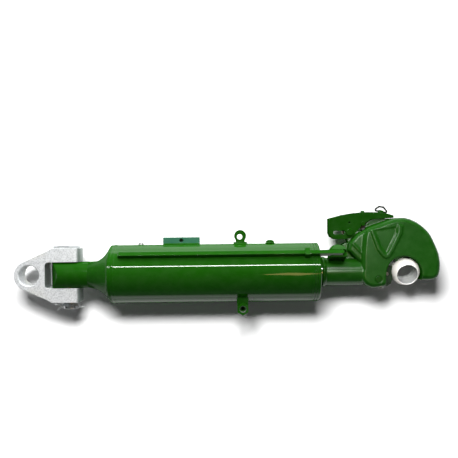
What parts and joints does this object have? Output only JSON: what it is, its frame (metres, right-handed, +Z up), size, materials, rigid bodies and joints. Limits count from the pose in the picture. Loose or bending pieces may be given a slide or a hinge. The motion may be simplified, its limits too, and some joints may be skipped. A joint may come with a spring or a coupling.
{
  "type": "hydraulic top link",
  "caption": "Hydraulic cylinder with a forked tractor end that swivels on a pin and a latching hook with a loose ball, used as the adjustable upper link of a rear hitch.",
  "frame": {"origin": "centre of the tractor eye bore in the yoke", "axes": "+X along the cylinder from the tractor eye to the hook, +Y towards the hook's back where its release lever is, +Z up as the link lies on its side, along the tractor eye's bore"},
  "size_m": [0.9433, 0.2366, 0.1319],
  "materials": {
    "green_paint": "gloss enamel with light handling wear",
    "teal_paint": "gloss enamel, thicker on edges",
    "zinc_plate": "mottled bright zinc plating",
    "bright_steel": "bright zinc plating",
    "hard_chrome": "polished hard chrome",
    "plain_steel": "machined, oiled",
    "dark_steel": "dark, lightly painted",
    "seal_rubber": "smooth black nitrile",
    "seal_polyurethane": "smooth blue polyurethane",
    "guide_plastic": "fabric-filled phenolic",
    "bush_bronze": "machined bronze"
  },
  "bodies": {
    "barrel": {"barrel_tube": "green_paint", "neck_forging": "green_paint", "neck_bush": "bush_bronze", "base_weld": "green_paint", "gland_head": "green_paint", "gland_oring": "seal_rubber", "rod_seal": "seal_polyurethane", "rod_wiper": "seal_rubber", "rod_guide_ring": "guide_plastic", "hose_tab": "teal_paint", "ring_lug": "green_paint", "top_screw": "green_paint", "base_port_plug": "bright_steel", "port_saddle": "green_paint", "elbow_fitting": "green_paint", "oil_pipe": "green_paint", "rod_end_boss": "green_paint", "bar_clip": "green_paint", "grease_nipple": "bright_steel"},
    "yoke": {"yoke_fork": "zinc_plate", "pivot_pin": "zinc_plate", "pin_washer": "zinc_plate", "castle_nut": "zinc_plate", "split_pin": "bright_steel"},
    "rod": {"piston_rod": "hard_chrome", "piston": "plain_steel", "piston_seal": "seal_polyurethane", "piston_rings": "guide_plastic", "stem_oring": "seal_rubber", "piston_nut": "plain_steel", "hook_forging": "green_paint", "shank_weld": "green_paint", "key_bar": "green_paint", "bar_lug": "green_paint", "lever_pin": "green_paint", "pawl_pin": "green_paint", "stop_screw": "bright_steel"},
    "lever": {"release_lever": "green_paint", "lever_spring": "plain_steel", "roof_rivet": "green_paint", "lever_link_pin": "green_paint"},
    "link": {"latch_link": "plain_steel"},
    "pawl": {"latch_pawl": "dark_steel", "pawl_link_pin": "plain_steel"},
    "ring": {"rope_ring": "dark_steel"},
    "ball": {"hook_ball": "hard_chrome"}
  },
  "joints": [
    {"name": "yoke_pivot", "type": "hinge", "parent": "barrel", "child": "yoke", "pos_m": [0.088, 0, 0], "axis": [0, 1, 0], "range_deg": [-60, 60]},
    {"name": "rod_slide", "type": "slide", "parent": "barrel", "child": "rod", "axis": [1, 0, 0], "range_m": [0, 0.24]},
    {"name": "lever_hinge", "type": "hinge", "parent": "rod", "child": "lever", "pos_m": [0.712, 0.088, 0], "axis": [0, 0, 1], "range_deg": [0, 22], "stiffness_Nm_per_rad": 2.5, "springref_deg": -34.38},
    {"name": "link_hinge", "type": "hinge", "parent": "lever", "child": "link", "pos_m": [0.74253, 0.10708, 0], "axis": [0, 0, 1], "range_deg": [-21.6, 0]},
    {"name": "pawl_hinge", "type": "hinge", "parent": "rod", "child": "pawl", "pos_m": [0.772, -0.0165, 0], "axis": [0, 0, 1], "range_deg": [0, 30.5]},
    {"name": "ring_hinge", "type": "hinge", "parent": "lever", "child": "ring", "pos_m": [0.78628, 0.13325, 0], "axis": [0.9799, -0.1994, 0], "range_deg": [-70, 70]},
    {"name": "ball_swivel", "type": "hinge", "parent": "rod", "child": "ball", "pos_m": [0.8388, 0, 0], "axis": [1, 0, 0], "range_deg": [-45, 5]}
  ],
  "couplings": [
    {"joint": "pawl_hinge", "follows": "lever_hinge", "ratio": 1.364},
    {"joint": "link_hinge", "follows": "lever_hinge", "ratio": -0.975}
  ]
}
